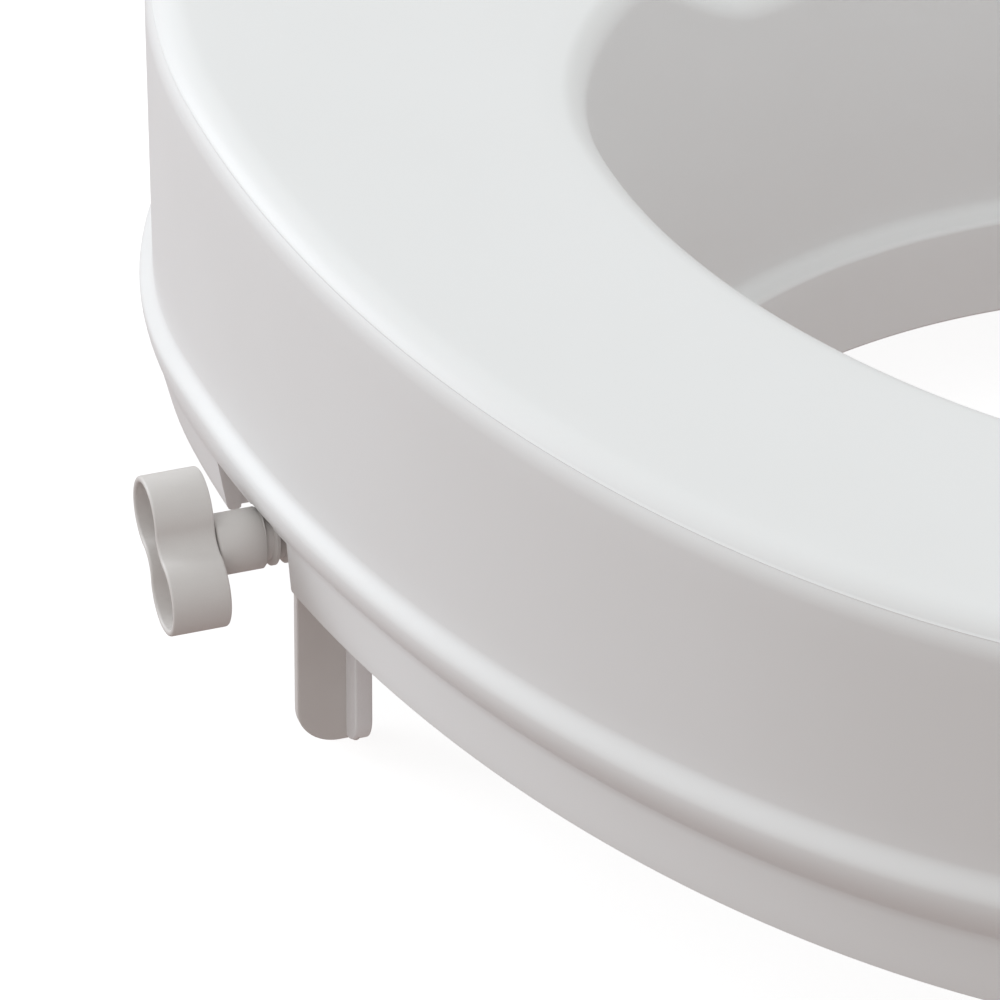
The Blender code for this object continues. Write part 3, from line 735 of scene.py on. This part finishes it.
for side, turn in SIDES:
    guide_wall("guide_wall_front_" + side, turn, AXIS_Y - NOTCH_FRONT - GUIDE_GAP, -GUIDE_WALL)
    guide_wall("guide_wall_rear_" + side, turn, AXIS_Y + NOTCH_REAR + GUIDE_GAP, GUIDE_WALL)
print("guide walls:", 2 * len(SIDES))

# %% [markdown]
# ## Rim pads
#
# Four soft pads rest on the bowl. They are rounded blocks of rubber with shallow grooves across, which
# let water out and stop the seat from sliding.

# %% Grooved pads
PAD_BOTTOM = 0.0110
PAD_MARGIN = 0.006
PAD_GAP = 0.0003             # between a pad and its shelf
PAD_STEPS = 96
PAD_END = 1 / 24             # share of a pad's length over which each end is rounded
PAD_SHRINK = 0.0016
GROOVE = 0.0009
GROOVE_COUNT = 8
TOP_ROUND = 0.0010


def grooved_pad(name, first, last):
    margin = np.degrees(PAD_MARGIN / SEAT["half_width"])
    inner = wall_inset(SHELF) - WALL - PAD_MARGIN
    loops = []
    for step in range(PAD_STEPS + 1):
        share = step / PAD_STEPS
        angle = np.array([radians(first + margin + (last - first - 2 * margin) * share)])
        out = skirt_ring(angle, -WALL - PAD_MARGIN)[0]
        inn = hole_ring(angle, inner)[0]
        end = min(share, 1 - share) / PAD_END
        shrink = PAD_SHRINK * (1 - min(end, 1)) ** 2
        groove = GROOVE * max(0, cos(2 * pi * share * GROOVE_COUNT)) ** 4 if end > 1 else 0
        across = (inn - out) / np.linalg.norm(inn - out)
        low = PAD_BOTTOM + groove + shrink
        high = SHELF - PAD_GAP - shrink
        rise = [(0.0, low + 0.0015), (0.0, high - TOP_ROUND), (TOP_ROUND, high)]
        foot = [(0.0018, low), (0.0006, low + 0.0005)]
        section = []
        for start, way, corners in ((out, 1, rise), (inn, -1, rise[::-1] + foot[::-1]), (out, 1, foot)):
            for inset, z in corners:
                section.append((*(start + way * across * (inset + shrink)), SKIRT_Z + z))
        loops.append(section)
    pad = mesh_from_loops("rubber_pad_" + name, loops, RUBBER)
    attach(pad, "seat")
    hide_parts("rim_pad_" + name)


for name, first, last in PAD_SPANS:
    grooved_pad(name, first, last)
print("rim pads:", len(PAD_SPANS))

# %% [markdown]
# ## Hand knobs
#
# The knob is a hollow cup with a bow-tie outline that fingers can hold: two round lobes with a waist
# between them, all of arcs that meet smoothly. Its slices are that outline, drawn in a little at the
# rounded edges, going up the outside, over the rim and down inside to the floor.

# %% Bow-tie knob
LOBE = 0.0084
LOBE_CENTRE = 0.0083
WAIST = 0.0056
KNOB_WALL = 0.0014
KNOB_FLOOR = 0.0030
KNOB_TURN = radians(135)
KNOB_ROUND = 0.0006
KNOB_RIM = 0.42              # height of the rounded rim as a share of the wall
FLOOR_ROUND = 0.0008
LOBE_STEPS = 56
WAIST_STEPS = 20


def bow_tie(grow):
    """The knob's outline in v and w, moved outward by grow."""
    lobe = LOBE + grow
    waist = WAIST + grow
    hollow = (LOBE_CENTRE ** 2 + waist ** 2 - lobe ** 2) / (2 * (lobe - waist))
    lift = waist + hollow
    lean = asin(LOBE_CENTRE / (lobe + hollow))
    points = arc((LOBE_CENTRE, 0), lobe, -pi / 2 - lean, pi / 2 + lean, LOBE_STEPS)
    points += arc((0, lift), hollow, -pi / 2 + lean, -pi / 2 - lean, WAIST_STEPS)[1:-1]
    points += arc((-LOBE_CENTRE, 0), lobe, pi / 2 - lean, 3 * pi / 2 + lean, LOBE_STEPS)
    points += arc((0, -lift), hollow, pi / 2 + lean, pi / 2 - lean, WAIST_STEPS)[1:-1]
    flat = np.array(points)
    spin = np.array([[cos(KNOB_TURN), sin(KNOB_TURN)], [-sin(KNOB_TURN), cos(KNOB_TURN)]])
    return flat @ spin


def knob_slices(base, top):
    """(outward, u) pairs: outside, rounded rim, inside, rounded floor."""
    slices = []
    for turn in np.linspace(0, pi / 2, 6):
        slices.append((-KNOB_ROUND * (1 - sin(turn)), base + KNOB_ROUND * (1 - cos(turn))))
    rim = KNOB_WALL * KNOB_RIM
    for turn in np.linspace(0, pi, 9):
        slices.append((-KNOB_WALL / 2 + (KNOB_WALL / 2) * cos(turn), top - rim + rim * sin(turn)))
    floor_u = base + KNOB_FLOOR
    for turn in np.linspace(0, pi / 2, 6):
        inward = KNOB_WALL + FLOOR_ROUND * (1 - cos(turn))
        slices.append((-inward, floor_u + FLOOR_ROUND * (1 - sin(turn))))
    return slices


for side, turn in SIDES:
    loops = []
    for grow, u in knob_slices(knob_low.x, knob_high.x):
        flat = bow_tie(grow)
        loops.append(clamp_place(np.column_stack([np.full(len(flat), u), flat]), turn))
    knob = mesh_from_loops("hand_knob_" + side, loops, GREY, sharp=60)
    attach(knob, side + "_screw")
    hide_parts("knob_" + side)
print("knob depth", round(knob_high.x - knob_low.x, 4), "m")

# %% [markdown]
# ## Spindles
#
# The spindle is turned round its axis: a plain hub outside, a coarse thread through the skirt and the
# arm, then a thin journal in the guide block. The thread is a ridge swept along a helix and laid on
# the core, fading out at its inner end.

# %% Threaded spindle
HUB = 0.0064
ROOT = 0.0050
CREST = 0.0062
PITCH = 0.0030
RIDGE_BASE = 0.0019
RIDGE_TOP = 0.0009
JOURNAL = 0.0039
GROOVE_RADIUS = 0.0029
FIT = 0.0003                 # clearance between the spindle and what it meets
CHAMFER = 0.0005
THREAD_SHOW = 0.0018         # how much of the thread shows outside the skirt
THREAD_LEAD = 0.002
THREAD_TAIL = 0.0022
RIDGE_SINK = 0.0006          # how far the ridge's foot is sunk in the core
CREST_ROUND = 0.0001
CREST_DROP = 0.0003
FADED = 0.0002               # how far the crest is sunk in the core where the ridge has faded out
TURN_STEPS = 48
HUB_CHAMFER = 0.0004
HUB_END = knob_low.x - FIT
THREAD_START = SKIRT_U + THREAD_SHOW
BLOCK_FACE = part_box("guide_block_right")[1].x
CLIP_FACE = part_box("retaining_clip_right")[1].x
CLIP_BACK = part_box("retaining_clip_right")[0].x


def spindle_stations():
    """(u, radius) from the hub to the end, with small chamfers."""
    stations = [(HUB_END, HUB - HUB_CHAMFER), (HUB_END - HUB_CHAMFER, HUB)]
    stations += [(THREAD_START + 0.0006, HUB), (THREAD_START + 0.0001, HUB - CHAMFER), (THREAD_START, ROOT)]
    stations += [(BLOCK_FACE + 2 * FIT, ROOT), (BLOCK_FACE + FIT, ROOT - FIT), (BLOCK_FACE + FIT, JOURNAL)]
    stations += [(CLIP_FACE + FIT, JOURNAL), (CLIP_FACE + FIT, GROOVE_RADIUS)]
    stations += [(CLIP_BACK - FIT, GROOVE_RADIUS), (CLIP_BACK - FIT, JOURNAL)]
    stations += [(SPINDLE_END + CHAMFER, JOURNAL), (SPINDLE_END, JOURNAL - CHAMFER)]
    return stations


def thread_loops(turn):
    """Sections of the ridge along a left-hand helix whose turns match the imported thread."""
    start = THREAD_START + THREAD_LEAD
    steps = int((start - BLOCK_FACE - THREAD_TAIL) / PITCH * TURN_STEPS)
    loops = []
    for step in range(steps + 1):
        u = start - PITCH * step / TURN_STEPS
        around = -2 * pi * u / PITCH
        left = min(1, (steps - step) / (TURN_STEPS / 2))
        crest = ROOT - FADED + (CREST - ROOT + FADED) * left
        flank = RIDGE_TOP / 2 + CREST_ROUND
        flat = RIDGE_TOP / 2 - CREST_ROUND
        profile = [(-RIDGE_BASE / 2, ROOT - RIDGE_SINK), (-flank, crest - CREST_DROP), (-flat, crest)]
        profile += [(flat, crest), (flank, crest - CREST_DROP), (RIDGE_BASE / 2, ROOT - RIDGE_SINK)]
        section = [(u + along, radius * cos(around), radius * sin(around)) for along, radius in profile]
        loops.append(clamp_place(section, turn))
    return loops


for side, turn in SIDES:
    core = mesh_from_loops("screw_spindle_" + side, turned_loops(spindle_stations(), turn), GREY, sharp=50)
    ridge = mesh_from_loops("thread_ridge_" + side, thread_loops(turn), GREY)
    for piece in (core, ridge):
        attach(piece, side + "_screw")
    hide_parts("spindle_" + side)
print("thread:", round((THREAD_START - BLOCK_FACE) / PITCH, 1), "turns")

# %% [markdown]
# ## Clamp arms
#
# The arm is T-shaped in section: a flat plate that faces the bowl and a rib behind it, with a square
# head round the screw at its top. Plate and rib end in round tips. Each is an outline pushed through a
# thickness, with a small round on its edges, and they run into each other as one moulding. The head is
# drawn solid, without its threaded bore, so the spindle and its thread run through it.

# %% T-section arm
PLATE = 0.0012
PLATE_HALF = 0.0070
RIB_HALF = 0.0013
TIP = 0.0090
ARM_U = arm_high.x
PLATE_OUT = arm_low.x + 0.0018
TIP_W = arm_low.z - AXIS_Z
HEAD_TOP = arm_high.z - AXIS_Z
HEAD_FOOT = -HUB - 0.0035
HEAD_HALF = 0.0085
HEAD_ROUND = 0.0012
ARM_ROUND = 0.0006
ARM_LAP = 0.002              # how far the plate and the rib run up into the head


def pushed_outline(outline, low, high, rounding):
    """Slices of an outline pushed from low to high, drawn in by a small round at both ends."""
    flat = np.array(outline)
    centre = (flat.max(0) + flat.min(0)) / 2
    half = (flat.max(0) - flat.min(0)) / 2
    slices = []
    for turn in np.linspace(0, pi / 2, 5):
        slices.append((low + rounding * (1 - cos(turn)), rounding * (1 - sin(turn))))
    for turn in np.linspace(pi / 2, 0, 5):
        slices.append((high - rounding * (1 - cos(turn)), rounding * (1 - sin(turn))))
    loops = []
    for depth, draw in slices:
        loops.append((depth, centre + (flat - centre) * (1 - draw / half)))
    return loops


def rounded_box_outline(low, high, radius):
    points = arc((high[0] - radius, high[1] - radius), radius, 0, pi / 2, 5)
    points += arc((low[0] + radius, high[1] - radius), radius, pi / 2, pi, 5)
    points += arc((low[0] + radius, low[1] + radius), radius, pi, 3 * pi / 2, 5)
    points += arc((high[0] - radius, low[1] + radius), radius, 3 * pi / 2, 2 * pi, 5)
    return points


def arm_pieces(side, turn):
    plate = [(PLATE_HALF, HEAD_FOOT + ARM_LAP)] + arc((0, TIP_W + PLATE_HALF), PLATE_HALF, 0, -pi, 40)
    plate += [(-PLATE_HALF, HEAD_FOOT + ARM_LAP)]
    loops = [clamp_place([(u, v, w) for v, w in flat], turn)
             for u, flat in pushed_outline(plate, PLATE_OUT - PLATE, PLATE_OUT, ARM_ROUND)]
    yield mesh_from_loops("arm_plate_" + side, loops, GREY)
    rib = [(ARM_U, HEAD_FOOT + ARM_LAP)] + arc((ARM_U - TIP, TIP_W + TIP), TIP, 0, -pi / 2, 28)
    rib += [(PLATE_OUT - PLATE / 2, TIP_W), (PLATE_OUT - PLATE / 2, HEAD_FOOT + ARM_LAP)]
    loops = [clamp_place([(u, v, w) for u, w in flat], turn)
             for v, flat in pushed_outline(rib, -RIB_HALF, RIB_HALF, ARM_ROUND)]
    yield mesh_from_loops("arm_rib_" + side, loops, GREY)
    head = rounded_box_outline((-HEAD_HALF, HEAD_FOOT), (HEAD_HALF, HEAD_TOP), HEAD_ROUND)
    loops = [clamp_place([(u, v, w) for v, w in flat], turn)
             for u, flat in pushed_outline(head, arm_low.x, ARM_U, ARM_ROUND)]
    yield mesh_from_loops("arm_head_" + side, loops, GREY)


for side, turn in SIDES:
    for number, piece in enumerate(arm_pieces(side, turn)):
        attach(piece, side + "_clamp")
        if number == 0:
            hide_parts("clamp_arm_" + side)
print("arm from", round(arm_high.z, 4), "down to", round(arm_low.z, 4))

# %% [markdown]
# ## Arm pads and small hardware
#
# A sleeve of pale soft rubber is slipped over the arm's plate, so that the bowl isn't scratched. The
# guide blocks, their screws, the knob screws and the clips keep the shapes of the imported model. They
# get a narrow bevel, so that their edges catch the light, and their own finishes.

# %% Sleeves over the arms' plates
SLEEVE = 0.0006
SLEEVE_ROUND = 0.0005
sleeve_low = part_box("arm_pad_right")[0]

for side, turn in SIDES:
    half = PLATE_HALF + SLEEVE
    tip_w = sleeve_low.z - AXIS_Z
    outline = [(half, HEAD_FOOT)] + arc((0, tip_w + half), half, 0, -pi, 40) + [(-half, HEAD_FOOT)]
    loops = [clamp_place([(u, v, w) for v, w in flat], turn)
             for u, flat in pushed_outline(outline, sleeve_low.x, PLATE_OUT + SLEEVE, SLEEVE_ROUND)]
    pad = mesh_from_loops("rubber_arm_pad_" + side, loops, PALE_RUBBER)
    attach(pad, side + "_clamp")
    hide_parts("arm_pad_" + side)
print("arm pads:", len(SIDES))

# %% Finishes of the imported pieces
BLOCK_BEVEL = 0.0003
STEEL_BEVEL = 0.0001


def dress(node, finish, bevel):
    """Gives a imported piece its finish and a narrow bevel."""
    piece = frame["nodes"][node]
    piece.data.materials.clear()
    piece.data.materials.append(finish)
    modifier = piece.modifiers.new("edges", "BEVEL")
    modifier.width = bevel
    modifier.segments = 2
    modifier.limit_method = "ANGLE"
    modifier.angle_limit = SMOOTH_LIMIT


for side in ("right", "left"):
    dress("guide_block_" + side, GREY, BLOCK_BEVEL)
    dress("retaining_clip_" + side, STEEL, STEEL_BEVEL)
    dress("knob_screw_" + side, STEEL, STEEL_BEVEL)
    for label in ("a", "b"):
        dress("guide_screw_%s_%s" % (side, label), STEEL, STEEL_BEVEL)
print("packed pieces dressed")

# %% Sizes and finish
visual_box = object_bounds()
sizes = {"cad": [list(map(float, corner)) for corner in cad_box]}
sizes["visual"] = [list(map(float, corner)) for corner in visual_box]
print("visual box", [round(value, 4) for corner in sizes["visual"] for value in corner])
